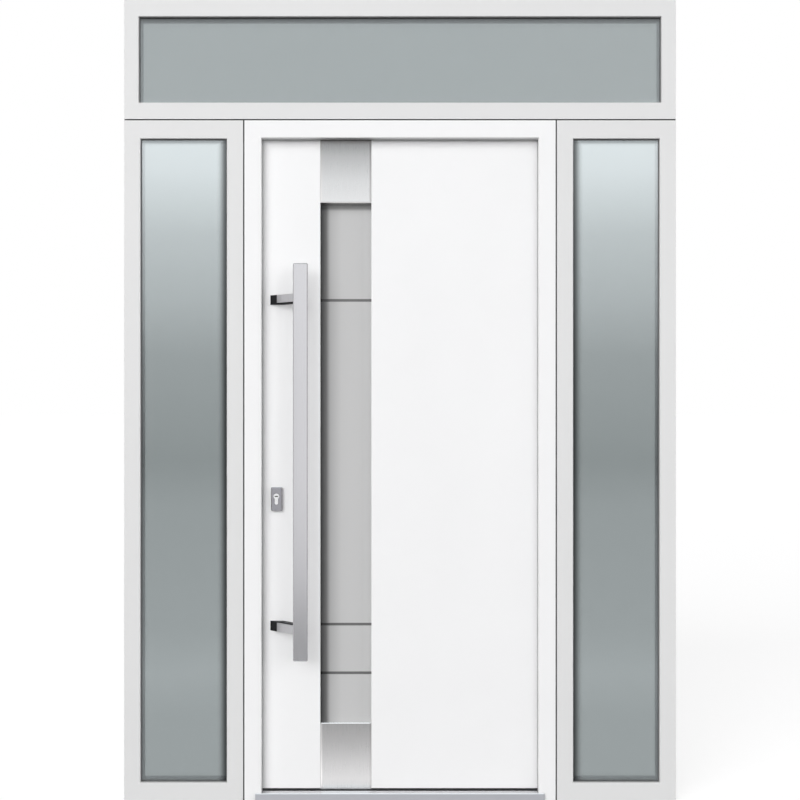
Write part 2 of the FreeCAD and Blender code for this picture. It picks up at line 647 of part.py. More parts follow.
def inside_lever(seat):
    # Round bar that leaves a turned rose, bends once and runs towards the hinges.
    out = point(0, 1, 0)
    across = point(1, 0, 0)
    foot = point(LOCK_X, seat, LEVER_Z)
    rose = Part.makeCylinder(ROSE_RADIUS, ROSE_THICKNESS, foot, out)
    rose = rose.makeChamfer(ROSE_CHAMFER, edges_at(rose, y=seat + ROSE_THICKNESS))
    neck_length = LEVER_STANDOFF - LEVER_BEND
    neck = Part.makeCylinder(LEVER_RADIUS, neck_length, foot, out)
    neck_end = foot + out * neck_length
    section = Part.Face(Part.Wire(Part.makeCircle(LEVER_RADIUS, neck_end, out)))
    bend = section.revolve(neck_end + across * LEVER_BEND, point(0, 0, -1), 90)
    grip_start = neck_end + (out + across) * LEVER_BEND
    grip = Part.makeCylinder(LEVER_RADIUS, LEVER_LENGTH - LEVER_BEND, grip_start, across)
    grip_end = grip_start.x + LEVER_LENGTH - LEVER_BEND
    grip = grip.makeFillet(LEVER_END_ROUNDING, edges_at(grip, x=grip_end)[:1])
    return rose.fuse([neck, bend, grip]).removeSplitter()


def edge_piece(near, far, thick, y_middle, z_middle, tall):
    # Piece let into the bevelled lock edge, between two distances in from it.
    spans = centred(y_middle, thick)
    plan = [(lock_edge(y) + near, y) for y in spans]
    plan += [(lock_edge(y) + far, y) for y in reversed(spans)]
    return upright(plan, centred(z_middle, tall))


def faceplate_blank():
    middle = (LEAF_FRONT + LEAF_BACK) / 2
    tall = FACEPLATE_BELOW + FACEPLATE_ABOVE
    z = LOCK_HEIGHT + (FACEPLATE_ABOVE - FACEPLATE_BELOW) / 2
    return edge_piece(0, FACEPLATE_THICKNESS, FACEPLATE_WIDTH, middle, z, tall)


def bolts(clearance=0):
    middle = (LEAF_FRONT + LEAF_BACK) / 2
    near = BOLT_RECESS - clearance
    pieces = []
    for z, tall, thick in bolt_sizes():
        size = (thick + 2 * clearance, middle, z, tall + 2 * clearance)
        pieces.append(edge_piece(near, BOLT_LENGTH, *size))
    return pieces


def lock_edge_pieces():
    save("lock_faceplate", faceplate_blank().cut(Part.makeCompound(bolts(BOLT_CLEARANCE))))
    save("lock_bolts", *bolts())


def hinge_heights():
    low = LEAF_BOTTOM + HINGE_END_DISTANCE
    high = LEAF_TOP - HINGE_END_DISTANCE
    return (low, (low + high) / 2, high)


def barrel(radius, z_span):
    return Part.makeCylinder(radius, z_span[1] - z_span[0], point(HINGE_X, HINGE_Y, z_span[0]))


def knuckle(z_span, free_end):
    solid = barrel(KNUCKLE_RADIUS, z_span)
    return solid.makeChamfer(KNUCKLE_CHAMFER, edges_at(solid, z=free_end)[:1])


def hinge_plate(x_span, y_span, z_span, free_x):
    plate = block(x_span, y_span, z_span)
    corners = sum([edges_at(plate, x=free_x, z=z) for z in z_span], [])
    return plate.makeFillet(HINGE_PLATE_CORNER, corners)


def frame_hinge(z):
    # Lower knuckle with the pin, on a plate on the room side of the hinge jamb.
    height = (z - HINGE_HALF_HEIGHT, z)
    plate_x = (REBATE_HALF + HINGE_PLATE_MARGIN, DOOR_HALF - HINGE_PLATE_MARGIN)
    plate = hinge_plate(plate_x, (BACK, BACK + HINGE_PLATE_THICKNESS), height, plate_x[1])
    pin = barrel(PIN_RADIUS, (z - PIN_ROOT, z + PIN_REACH))
    return plate.fuse([knuckle(height, height[0]), pin]).removeSplitter()


def leaf_hinge(z):
    # Upper knuckle bored for the pin, on a plate on the room side of the leaf.
    height = (z + KNUCKLE_GAP, z + HINGE_HALF_HEIGHT)
    plate_right = LEAF_RIGHT - LEAF_PLATE_INSET
    plate_x = (plate_right - LEAF_PLATE_WIDTH, plate_right)
    plate = hinge_plate(plate_x, (LEAF_BACK, LEAF_BACK + HINGE_PLATE_THICKNESS), height, plate_x[0])
    web = block((plate_right - HINGE_WEB, plate_right), (LEAF_BACK, HINGE_Y), height)
    body = plate.fuse([web, knuckle(height, height[1])]).removeSplitter()
    bore = barrel(PIN_RADIUS + PIN_CLEARANCE, (z, z + PIN_REACH + KNUCKLE_GAP))
    return body.cut(bore)


def hinges():
    save("frame_hinge_halves", *[frame_hinge(z) for z in hinge_heights()])
    save("leaf_hinge_halves", *[leaf_hinge(z) for z in hinge_heights()])


os.makedirs("parts", exist_ok=True)
glazed_units()
coupling_strips()
door_frame()
leaf_shell()
slot_and_inlays()
bottom_sweep()
pull_handle()
lock_furniture()
lock_edge_pieces()
hinges()
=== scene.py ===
import math

import bmesh
import bpy
from mathutils import Matrix, Vector
from mathutils.geometry import tessellate_polygon


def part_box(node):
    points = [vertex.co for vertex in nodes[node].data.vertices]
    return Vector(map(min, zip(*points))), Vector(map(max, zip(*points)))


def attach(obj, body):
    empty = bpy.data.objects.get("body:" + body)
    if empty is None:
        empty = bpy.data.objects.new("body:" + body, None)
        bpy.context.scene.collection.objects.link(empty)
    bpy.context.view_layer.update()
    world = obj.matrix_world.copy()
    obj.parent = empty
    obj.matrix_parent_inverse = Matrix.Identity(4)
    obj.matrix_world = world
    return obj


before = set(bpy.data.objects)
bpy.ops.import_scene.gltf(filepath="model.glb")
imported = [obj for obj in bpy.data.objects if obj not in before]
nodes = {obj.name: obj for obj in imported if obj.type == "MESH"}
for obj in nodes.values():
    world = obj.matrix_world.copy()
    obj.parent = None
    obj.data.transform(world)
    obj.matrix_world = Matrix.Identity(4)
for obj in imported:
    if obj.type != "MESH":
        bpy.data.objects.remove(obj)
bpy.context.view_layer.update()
scene = bpy.context.scene
print("frame loaded,", len(nodes), "nodes")

# names shared by more than one piece
glazedUnits = ("left_sidelight", "right_sidelight", "transom")
frameBars = ("left_stile", "right_stile", "top_rail", "bottom_rail")

# where most of a noise lies, and the middle of it
noiseRange = (0.25, 0.75)
noiseMiddle = (0.3, 0.7)


# small node helpers

def startMaterial(name, color, roughness, metallic=0.0):
    material = bpy.data.materials.new(name)
    material.use_nodes = True
    shader = material.node_tree.nodes["Principled BSDF"]
    shader.inputs["Base Color"].default_value = (*color, 1.0)
    shader.inputs["Roughness"].default_value = roughness
    shader.inputs["Metallic"].default_value = metallic
    material.diffuse_color = (*color, 1.0)
    return material, material.node_tree, shader


def addNode(tree, kind, **values):
    node = tree.nodes.new(kind)
    for name, value in values.items():
        setattr(node, name, value)
    return node


def addAxes(tree, kind):
    # a texture coordinate, by axis
    coords = addNode(tree, "ShaderNodeTexCoord")
    split = addNode(tree, "ShaderNodeSeparateXYZ")
    tree.links.new(coords.outputs[kind], split.inputs["Vector"])
    return split.outputs


def addPlace(tree):
    # the point in the part's own metres
    return addAxes(tree, "Object")


def addFacing(tree):
    # the way the face looks, which turns with the leaf
    return addAxes(tree, "Normal")


def addNoise(tree, scale, detail=3.0, stretch=(1.0, 1.0, 1.0)):
    # noise in the part's own metres, stretched per axis
    coords = addNode(tree, "ShaderNodeTexCoord")
    mapping = addNode(tree, "ShaderNodeMapping")
    mapping.inputs["Scale"].default_value = stretch
    noise = addNode(tree, "ShaderNodeTexNoise")
    noise.inputs["Scale"].default_value = scale
    noise.inputs["Detail"].default_value = detail
    tree.links.new(coords.outputs["Object"], mapping.inputs["Vector"])
    tree.links.new(mapping.outputs["Vector"], noise.inputs["Vector"])
    return noise.outputs["Fac"]


def addRamp(tree, source, stops):
    ramp = addNode(tree, "ShaderNodeValToRGB")
    elements = ramp.color_ramp.elements
    while len(elements) < len(stops):
        elements.new(0.5)
    for element, (position, color) in zip(elements, stops):
        element.position = position
        element.color = (*color, 1.0)
    tree.links.new(source, ramp.inputs["Fac"])
    return ramp.outputs["Color"]


def addSpread(tree, source, stops):
    # a ramp of plain levels
    return addRamp(tree, source, [(place, (share,) * 3) for place, share in stops])


def addSpan(tree, source, start, end, low=0.0, high=1.0, kind="LINEAR"):
    # goes from low at the start to high at the end, and no further
    node = addNode(tree, "ShaderNodeMapRange", interpolation_type=kind)
    for name, value in (("From Min", start), ("From Max", end), ("To Min", low), ("To Max", high)):
        node.inputs[name].default_value = value
    tree.links.new(source, node.inputs["Value"])
    return node.outputs["Result"]


def addRange(tree, source, low, high):
    # spreads a noise over low to high
    return addSpan(tree, source, *noiseRange, low, high)


def addBump(tree, shader, height, strength, distance):
    bump = addNode(tree, "ShaderNodeBump")
    bump.inputs["Strength"].default_value = strength
    bump.inputs["Distance"].default_value = distance
    tree.links.new(height, bump.inputs["Height"])
    tree.links.new(bump.outputs["Normal"], shader.inputs["Normal"])


def addMath(tree, operation, first, second):
    node = addNode(tree, "ShaderNodeMath", operation=operation)
    for socket, value in zip(node.inputs, (first, second)):
        if isinstance(value, float):
            socket.default_value = value
        else:
            tree.links.new(value, socket)
    return node.outputs["Value"]


def addNear(tree, source, middle, half):
    # one within half of the middle, otherwise zero
    node = addNode(tree, "ShaderNodeMath", operation="COMPARE")
    node.inputs[1].default_value = middle
    node.inputs[2].default_value = half
    tree.links.new(source, node.inputs[0])
    return node.outputs["Value"]


def addBlend(tree, share, first, second, kind):
    # second takes the place of first where the share is one
    blend = addNode(tree, "ShaderNodeMix", data_type=kind)
    picked = [socket for socket in blend.inputs if socket.enabled]
    tree.links.new(share, picked[0])
    tree.links.new(first, picked[1])
    picked[2].default_value = second
    return [socket for socket in blend.outputs if socket.enabled][0]


def tint(color, factor):
    return tuple(min(1.0, channel * factor) for channel in color)


def addMottle(tree, source, places, color, depth):
    # the colour a little darker and lighter along a noise
    tones = (tint(color, 1.0 - depth), tint(color, 1.0 + depth))
    return addRamp(tree, source, list(zip(places, tones)))


def dress(names, material):
    for name in names:
        slots = nodes[name].data.materials
        slots.clear()
        slots.append(material)


# paint on the bars and the leaf

paintLook = {
    "white": (0.905, 0.905, 0.910),
    "grey": (0.752, 0.752, 0.752),
    "roughness": (0.34, 0.42),
    "cloudScale": 5.0,
    "cloudDetail": 4.0,
    "cloudDepth": 0.008,
    "peelScale": 420.0,
    "peelDetail": 2.0,
    "peelStrength": 0.06,
    "peelHeight": 0.0006,
}


def makePowderCoat(name, color):
    look = paintLook
    material, tree, shader = startMaterial(name, color, look["roughness"][0])
    clouds = addNoise(tree, look["cloudScale"], look["cloudDetail"])
    mottle = addMottle(tree, clouds, noiseMiddle, color, look["cloudDepth"])
    tree.links.new(mottle, shader.inputs["Base Color"])
    peel = addNoise(tree, look["peelScale"], look["peelDetail"])
    tree.links.new(addRange(tree, peel, *look["roughness"]), shader.inputs["Roughness"])
    addBump(tree, shader, peel, look["peelStrength"], look["peelHeight"])
    return material


whitePaint = makePowderCoat("whitePaint", paintLook["white"])
greyPaint = makePowderCoat("greyPaint", paintLook["grey"])
dress(["door_frame_head", "door_frame_strike_jamb", "door_frame_hinge_jamb"], whitePaint)
dress(["leaf_outer_skin", "leaf_inner_skin", "slot_inner_trim"], whitePaint)
for unit in glazedUnits:
    dress([unit + "_" + bar for bar in frameBars] + [unit + "_beads"], greyPaint)
print("paint done")


# brushed and plain metals

metalLook = {
    "pull": {"color": (0.635, 0.63, 0.645), "roughness": (0.11, 0.15), "grain": (1.0, 1.0, 0.012)},
    "bracket": {"color": (0.74, 0.735, 0.75), "roughness": (0.30, 0.36), "grain": (1.0, 1.0, 0.012)},
    "escutcheon": {"color": (0.41, 0.405, 0.43), "roughness": (0.16, 0.22), "grain": (1.0, 1.0, 0.03)},
    "fitting": {"color": (0.52, 0.52, 0.53), "roughness": (0.22, 0.30), "grain": (1.0, 1.0, 0.03)},
    "threshold": {"color": (0.53, 0.535, 0.56), "roughness": (0.42, 0.52), "grain": (0.012, 1.0, 1.0)},
    # the slot liner's black also stands in for painted shade on the slot's walls
    "liner": {"color": (0.030, 0.030, 0.032), "roughness": (0.45, 0.55), "grain": (1.0, 1.0, 0.03)},
}
grainLook = {"scale": 1400.0, "contrast": 0.05, "strength": 0.02, "height": 0.0003}
noseLook = {"color": (0.80, 0.80, 0.81), "roughness": 0.22, "above": 0.0222}  # painted highlight on faces that look up, over the top of the threshold's nose
upwardHighlight = [(0.5, 0.0), (0.8, 1.0)]  # how far a face looks up, share of painted highlight
inlayLook = {
    "metal": {"color": (0.925, 0.91, 0.90), "roughness": (0.26, 0.32), "grain": (1.0, 1.0, 0.012)},
    "fold": {"color": (0.98, 0.98, 0.98), "roughness": 0.15, "above": 0.1},  # ledge under the slot, with a painted highlight
    "streetFacing": -0.9,  # a face under this looks to the street
    # colour of the painted shade on the plates' street faces
    "paintedShadeColor": (0.0, 0.0, 0.0),
    "paintedShade": {  # share of the plate's height, how far the painted shade goes to its colour
        "top_inlay_plate": [(0.0, 0.16), (0.31, 0.26), (0.50, 0.37), (0.69, 0.49), (0.88, 0.68), (1.0, 0.76)],
        "bottom_inlay_plate": [(0.15, 0.0), (0.34, 0.12), (0.52, 0.26), (0.71, 0.39), (1.0, 0.52)],
    },
}


def makeBrushedMetal(name, color, roughness, grain):
    look = grainLook
    material, tree, shader = startMaterial(name, color, roughness[0], 1.0)
    streaks = addNoise(tree, look["scale"], stretch=grain)
    mottle = addMottle(tree, streaks, noiseRange, color, look["contrast"])
    tree.links.new(mottle, shader.inputs["Base Color"])
    tree.links.new(addRange(tree, streaks, *roughness), shader.inputs["Roughness"])
    addBump(tree, shader, streaks, look["strength"], look["height"])
    return material


def paintHighlightUpward(material, color, roughness, above):
    # painted highlight: faces that look up, over one height, are made brighter and smoother
    tree = material.node_tree
    shader = tree.nodes["Principled BSDF"]
    high = addMath(tree, "GREATER_THAN", addPlace(tree)["Z"], above)
    worn = addSpread(tree, addMath(tree, "MULTIPLY", addFacing(tree)["Z"], high), upwardHighlight)
    for name, value, kind in (("Base Color", (*color, 1.0), "RGBA"), ("Roughness", roughness, "FLOAT")):
        socket = shader.inputs[name]
        tree.links.new(addBlend(tree, worn, socket.links[0].from_socket, value, kind), socket)


def paintShadeAlong(material, node, stops):
    # painted shade: the plate's street face darkens towards its upper end, its bevels and folds stay bright
    tree = material.node_tree
    socket = tree.nodes["Principled BSDF"].inputs["Base Color"]
    low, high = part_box(node)
    along = addSpan(tree, addPlace(tree)["Z"], low.z, high.z)
    street = addMath(tree, "LESS_THAN", addFacing(tree)["Y"], inlayLook["streetFacing"])
    share = addMath(tree, "MULTIPLY", addSpread(tree, along, stops), street)
    dark = (*inlayLook["paintedShadeColor"], 1.0)
    tree.links.new(addBlend(tree, share, socket.links[0].from_socket, dark, "RGBA"), socket)


metals = {name: makeBrushedMetal(name + "Metal", **look) for name, look in metalLook.items()}
paintHighlightUpward(metals["threshold"], **noseLook)
for node, stops in inlayLook["paintedShade"].items():
    inlay = makeBrushedMetal(node + "Metal", **inlayLook["metal"])
    paintShadeAlong(inlay, node, stops)
    paintHighlightUpward(inlay, **inlayLook["fold"])
    dress([node], inlay)
dress(["pull_bar"], metals["pull"])
dress(["pull_brackets"], metals["bracket"])
dress(["cylinder_escutcheon"], metals["escutcheon"])
dress(["inside_backplate", "inside_lever", "lock_faceplate", "strike_plate"], metals["fitting"])
dress(["frame_hinge_halves", "leaf_hinge_halves"], metals["fitting"])
dress(["threshold"], metals["threshold"])
dress(["slot_liner"], metals["liner"])

nickelLook = {
    "color": (0.97, 0.967, 0.965),
    "roughness": (0.10, 0.2),
    "scale": 260.0,
    "detail": 4.0,
    # colour of the painted shade inside the keyway
    "keywayShadeColor": (0.012, 0.012, 0.012),
    "keywayPlace": (-0.3665, -0.0297, 0.897),  # the mouth, just behind the cylinder's face
    "keywayHalf": (0.0052, 0.0017),
}


def addKeywayShadeMask(tree):
    # painted shade: one inside the keyway, zero on the cylinder's face
    x, y, z = nickelLook["keywayPlace"]
    halfWidth, halfHeight = nickelLook["keywayHalf"]
    place = addPlace(tree)
    inside = addMath(tree, "GREATER_THAN", place["Y"], y)
    for axis, middle, half in (("X", x, halfWidth), ("Z", z, halfHeight)):
        inside = addMath(tree, "MULTIPLY", inside, addNear(tree, place[axis], middle, half))
    return inside


def makeNickel():
    look = nickelLook
    material, tree, shader = startMaterial("brightNickel", look["color"], look["roughness"][0], 1.0)
    handling = addNoise(tree, look["scale"], look["detail"])
    tree.links.new(addRange(tree, handling, *look["roughness"]), shader.inputs["Roughness"])
    stops = [(0.0, look["color"]), (1.0, look["keywayShadeColor"])]
    tree.links.new(addRamp(tree, addKeywayShadeMask(tree), stops), shader.inputs["Base Color"])
    return material


dress(["lock_cylinder", "lock_bolts"], makeNickel())
print("metals done")


# rubber, plastic and foam

darkLook = {
    "rubber": {"color": (0.016, 0.016, 0.017), "roughness": (0.55, 0.75), "scale": 700.0},
    "gasket": {"color": (0.120, 0.122, 0.124), "roughness": (0.55, 0.75), "scale": 700.0},
    "plastic": {"color": (0.008, 0.008, 0.009), "roughness": (0.45, 0.6), "scale": 900.0},
    "foam": {"color": (0.10, 0.10, 0.10), "roughness": (0.8, 0.95), "scale": 500.0},
}
mattLook = {"specular": 0.25, "paleGrain": 1.5, "strength": 0.15, "height": 0.0004}


def makeDark(name, color, roughness, scale):
    look = mattLook
    material, tree, shader = startMaterial(name, color, roughness[0])
    shader.inputs["Specular IOR Level"].default_value = look["specular"]
    grain = addNoise(tree, scale)
    tree.links.new(addRange(tree, grain, *roughness), shader.inputs["Roughness"])
    stops = list(zip(noiseMiddle, (color, tint(color, look["paleGrain"]))))
    tree.links.new(addRamp(tree, grain, stops), shader.inputs["Base Color"])
    addBump(tree, shader, grain, look["strength"], look["height"])
    return material


darks = {name: makeDark("black" + name.title(), **look) for name, look in darkLook.items()}
dress([unit + "_gasket" for unit in glazedUnits], darks["gasket"])
dress(["coupling_strips", "door_seal", "bottom_sweep"], darks["rubber"])
dress(["pull_feet"], darks["plastic"])
dress(["leaf_core"], darks["foam"])
print("seals and core done")


# glass

tintedLook = {
    "color": (0.27, 0.305, 0.305),
    "edgeShadeColor": (0.0, 0.0, 0.0),
    "ior": 1.5,
    "coatIor": 3.2,
    "coatRoughness": 0.02,
    "hiddenEdge": 0.014,  # pane edge behind the frame lip
    "topShade": (0.48, 0.020),  # painted shade: level at the edge, width
    "doorShade": (0.06, 0.036),
    "waveScale": 2.2,
    "waveDetail": 1.0,
    "waveStrength": 0.02,
    "waveHeight": 0.02,
    "roughness": (0.0, 0.03),
}
satinLook = {
    "color": (0.83, 0.83, 0.83),
    "lineAndShadeColor": (0.0, 0.0, 0.0),
    "roughness": (0.42, 0.55),
    "transmission": 0.12,
    "ior": 1.45,
    "grainScale": 1500.0,
    "grainDetail": 2.0,
    "grainStrength": 0.08,
    "grainHeight": 0.0003,
    "lineShade": 0.28,
    "lineHeights": (0.364, 0.510, 1.482),
    "lineHalfWidth": 0.004,
    "edgeSpan": 0.152,
    "acrossShade": [(0.0, 0.28), (0.10, 0.30), (0.174, 0.71), (0.40, 0.86), (0.82, 0.86), (1.0, 1.0)],
    "downShade": [(0.0, 0.62), (0.08, 0.53), (0.125, 0.95), (0.16, 1.0)],  # share of span, level of the painted shade at the edges, with a painted lift at the right edge
}


def paintedEdgeShades(unit):
    # axis, which end, level at the edge and width of the painted shade
    look = tintedLook
    fades = [("z", 1, *look["topShade"])]
    if unit == "left_sidelight":
        fades.append(("x", 1, *look["doorShade"]))
    if unit == "right_sidelight":
        fades.append(("x", 0, *look["doorShade"]))
    return fades


def addPaintedEdgeShade(tree, unit):
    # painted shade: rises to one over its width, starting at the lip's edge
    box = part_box(unit + "_glass")
    place = addPlace(tree)
    total = None
    for axis, end, level, width in paintedEdgeShades(unit):
        inward = (1.0, -1.0)[end]
        edge = getattr(box[end], axis) + inward * tintedLook["hiddenEdge"]
        edgeShade = addSpan(tree, place[axis.upper()], edge, edge + inward * width, level, kind="SMOOTHERSTEP")
        total = edgeShade if total is None else addMath(tree, "MINIMUM", total, edgeShade)
    return total


def makeTintedGlass(unit):
    # painted shade: the mirror coat and the colour fade out towards the pane's upper edge and, on the
    # sidelights, the door side
    look = tintedLook
    material, tree, shader = startMaterial(unit + "TintedGlass", look["color"], look["roughness"][0])
    shader.inputs["Transmission Weight"].default_value = 1.0
    shader.inputs["IOR"].default_value = look["ior"]
    shader.inputs["Coat IOR"].default_value = look["coatIor"]
    shader.inputs["Coat Roughness"].default_value = look["coatRoughness"]
    edgeShade = addPaintedEdgeShade(tree, unit)
    tree.links.new(edgeShade, shader.inputs["Coat Weight"])
    stops = [(0.0, look["edgeShadeColor"]), (1.0, look["color"])]
    tree.links.new(addRamp(tree, edgeShade, stops), shader.inputs["Base Color"])
    waves = addNoise(tree, look["waveScale"], look["waveDetail"])
    tree.links.new(addRange(tree, waves, *look["roughness"]), shader.inputs["Roughness"])
    addBump(tree, shader, waves, look["waveStrength"], look["waveHeight"])
    return material


def addLineMask(tree):
    # one inside the clear lines, zero on the satin field
    height = addPlace(tree)["Z"]
    mask = None
    for middle in satinLook["lineHeights"]:
        line = addNear(tree, height, middle, satinLook["lineHalfWidth"])
        mask = line if mask is None else addMath(tree, "MAXIMUM", mask, line)
    return mask


def addSatinShade(tree, mask):
    # painted shade along the left and upper edges and a painted lift towards the right edge; the clear lines
    # are darker
    look = satinLook
    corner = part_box("top_inlay_plate")[0]  # the slot's left side and upper end
    place = addPlace(tree)
    shade = addSpread(tree, mask, [(0.0, 1.0), (1.0, look["lineShade"])])
    edges = (("X", corner.x, 1.0, look["acrossShade"]), ("Z", corner.z, -1.0, look["downShade"]))
    for axis, start, inward, stops in edges:
        along = addSpan(tree, place[axis], start, start + inward * look["edgeSpan"])
        shade = addMath(tree, "MULTIPLY", shade, addSpread(tree, along, stops))
    return shade


def makeSatinGlass():
    look = satinLook
    material, tree, shader = startMaterial("satinGlass", look["color"], look["roughness"][0])
    shader.inputs["Transmission Weight"].default_value = look["transmission"]
    shader.inputs["IOR"].default_value = look["ior"]
    mask = addLineMask(tree)
    stops = [(0.0, look["lineAndShadeColor"]), (1.0, look["color"])]
    tree.links.new(addRamp(tree, addSatinShade(tree, mask), stops), shader.inputs["Base Color"])
    grain = addNoise(tree, look["grainScale"], look["grainDetail"])
    polish = addMath(tree, "MULTIPLY", mask, look["roughness"][0])  # the clear lines are smooth
    satin = addMath(tree, "SUBTRACT", addRange(tree, grain, *look["roughness"]), polish)
    tree.links.new(satin, shader.inputs["Roughness"])
    addBump(tree, shader, grain, look["grainStrength"], look["grainHeight"])
    return material


for unit in glazedUnits:
    dress([unit + "_glass"], makeTintedGlass(unit))
dress(["slot_glass"], makeSatinGlass())
print("glass done")


# cross-head screws in the hinge plates, the inside backplate, the strike plate and the lock faceplate

screwLook = {
    "radius": 0.0042,
    "rings": ((1.0, 0.0), (0.97, 0.3), (0.82, 0.72), (0.60, 1.0)),  # share of radius, share of rise
    "segments": 32,
    "armLength": 0.0021,
    "armHalf": 0.0005,
    "recess": 0.85,  # share of rise
    "firstTurn": 0.35,
    "nextTurn": 0.9,
    "proud": 0.0011,
    "flush": 0.0003,
    "hingeEnd": 0.013,
    "plateEnd": 0.014,
    "lockEnd": 0.011,
    "frameHingeX": 0.447,
    "leafHingeX": 0.394,
    "plateApart": 0.2,  # a larger step in height starts the next plate
    "samePlane": 0.0005,
    "facing": 0.9,
}


def crossOutline(length, half):
    quarter = [(length, -half), (length, half), (half, half)]
    outline = []
    for turn in range(4):
        sine, cosine = math.sin(turn * math.pi / 2), math.cos(turn * math.pi / 2)
        outline += [(x * cosine - y * sine, x * sine + y * cosine) for x, y in quarter]
    return outline


def addScrew(points, faces, place, normal, turn, rise):
    look = screwLook
    first = len(points)
    count = look["segments"]
    local = []
    for share, lift in look["rings"]:
        for index in range(count):
            angle = 2 * math.pi * index / count
            reach = look["radius"] * share
            local.append(Vector((reach * math.cos(angle), reach * math.sin(angle), rise * lift)))
    for ringIndex in range(len(look["rings"]) - 1):
        low = first + ringIndex * count
        for index in range(count):
            after = (index + 1) % count
            faces.append([low + index, low + after, low + count + after, low + count + index])
    cross = crossOutline(look["armLength"], look["armHalf"])
    land = local[-count:]
    mouth = [Vector((x, y, rise)) for x, y in cross]
    bottom = [Vector((x, y, rise * (1.0 - look["recess"]))) for x, y in cross]
    landStart = first + len(local) - count
    mouthStart = first + len(local)
    bottomStart = mouthStart + len(mouth)
    local += mouth + bottom
    numbers = list(range(landStart, landStart + count)) + list(range(mouthStart, bottomStart))
    for triangle in tessellate_polygon([land, mouth]):
        faces.append([numbers[corner] for corner in triangle])
    for index in range(len(mouth)):
        after = (index + 1) % len(mouth)
        faces.append([mouthStart + after, mouthStart + index, bottomStart + index, bottomStart + after])
    faces.append([bottomStart + index for index in range(len(bottom))])
    turned = Vector(normal).to_track_quat("Z", "Y").to_matrix() @ Matrix.Rotation(turn, 3, "Z")
    points += [Vector(place) + turned @ corner for corner in local]


def makeScrews(name, places, body, rise):
    # one piece for all screws of a node; each is driven home at its own angle
    points, faces = [], []
    for index, (place, normal) in enumerate(places):
        turn = screwLook["firstTurn"] + screwLook["nextTurn"] * index
        addScrew(points, faces, place, normal, turn, rise)
    mesh = bpy.data.meshes.new(name)
    mesh.from_pydata(points, [], faces)
    mesh.validate()
    holder = bmesh.new()
    holder.from_mesh(mesh)
    bmesh.ops.recalc_face_normals(holder, faces=holder.faces)
    holder.to_mesh(mesh)
    holder.free()
    mesh.materials.append(metals["fitting"])
    piece = bpy.data.objects.new(name, mesh)
    scene.collection.objects.link(piece)
    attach(piece, body)


def facesTowards(name, towards):
    limit = screwLook["facing"]
    return [face for face in nodes[name].data.polygons if face.normal.dot(Vector(towards)) > limit]


def facePlane(name, towards):
    # middle and outward normal of the largest flat face that looks one way
    largest = max(facesTowards(name, towards), key=lambda face: face.area)
    return largest.center.copy(), largest.normal.copy()


def plateSpans(name, towards, plane):
    # height spans of the three plates, read from the corners on their room face
    corners = nodes[name].data.vertices
    apart = screwLook["samePlane"]
    faces = [face for face in facesTowards(name, towards) if abs(face.center.y - plane) < apart]
    heights = sorted({round(corners[corner].co.z, 4) for face in faces for corner in face.vertices})
    spans = [[heights[0], heights[0]]]
    for height in heights:
        if height - spans[-1][1] > screwLook["plateApart"]:
            spans.append([height, height])
        spans[-1][1] = height
    return spans


def makeAllScrews():
    look = screwLook
    room = (0.0, 1.0, 0.0)
    hinges = (("frame_hinge_halves", "frame", "frameHingeX"), ("leaf_hinge_halves", "leaf", "leafHingeX"))
    for name, body, column in hinges:
        plane = facePlane(name, room)[0].y
        places = []
        for low, high in plateSpans(name, room, plane):
            ends = (low + look["hingeEnd"], high - look["hingeEnd"])
            places += [((look[column], plane, z), room) for z in ends]
        makeScrews(name.replace("_halves", "_screws"), places, body, look["proud"])
    low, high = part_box("inside_backplate")
    x = (low.x + high.x) / 2
    places = [((x, high.y, z), room) for z in (low.z + look["plateEnd"], high.z - look["plateEnd"])]
    makeScrews("inside_backplate_screws", places, "leaf", look["proud"])
    locks = (("strike_plate", "frame", (1, 0, 0)), ("lock_faceplate", "leaf", (-1, 0, 0)))
    for name, body, towards in locks:
        middle, normal = facePlane(name, towards)
        low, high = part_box(name)
        y = (low.y + high.y) / 2
        x = middle.x - (y - middle.y) * normal.y / normal.x  # on the face's own slope
        places = [((x, y, z), normal) for z in (low.z + look["lockEnd"], high.z - look["lockEnd"])]
        makeScrews(name + "_screws", places, body, look["flush"])


makeAllScrews()
print("screws done")


# stage

floorLook = {
    "size": 200.0,
    "seen": (0.55, 0.55, 0.55),  # shade that takes the shadow
    "glow": 0.71,  # lifts the lit floor to white
    "bounce": (0.20, 0.20, 0.20),  # shade that lights the part from below
    "behindGlass": 1.0,  # white
}


def addDiffuse(tree, color):
    diffuse = addNode(tree, "ShaderNodeBsdfDiffuse")
    diffuse.inputs["Color"].default_value = (*color, 1.0)
    return diffuse.outputs["BSDF"]


def addGlow(tree, strength):
    glow = addNode(tree, "ShaderNodeEmission")
    glow.inputs["Strength"].default_value = strength
    return glow.outputs["Emission"]


def addMix(tree, share, first, second):
    mix = addNode(tree, "ShaderNodeMixShader")
    tree.links.new(share, mix.inputs["Fac"])
    tree.links.new(first, mix.inputs[1])
    tree.links.new(second, mix.inputs[2])
    return mix.outputs["Shader"]


def makePaleFloor():
    look = floorLook
    material = bpy.data.materials.new("paleFloor")
    material.use_nodes = True
    tree = material.node_tree
    tree.nodes.clear()
    output = addNode(tree, "ShaderNodeOutputMaterial")
    path = addNode(tree, "ShaderNodeLightPath")
    lit = addNode(tree, "ShaderNodeAddShader")
    tree.links.new(addDiffuse(tree, look["seen"]), lit.inputs[0])
    tree.links.new(addGlow(tree, look["glow"]), lit.inputs[1])
    bounce = addDiffuse(tree, look["bounce"])
    pale = addMix(tree, path.outputs["Is Camera Ray"], bounce, lit.outputs["Shader"])
    white = addGlow(tree, look["behindGlass"])
    tree.links.new(addMix(tree, path.outputs["Is Transmission Ray"], pale, white), output.inputs["Surface"])
    return material


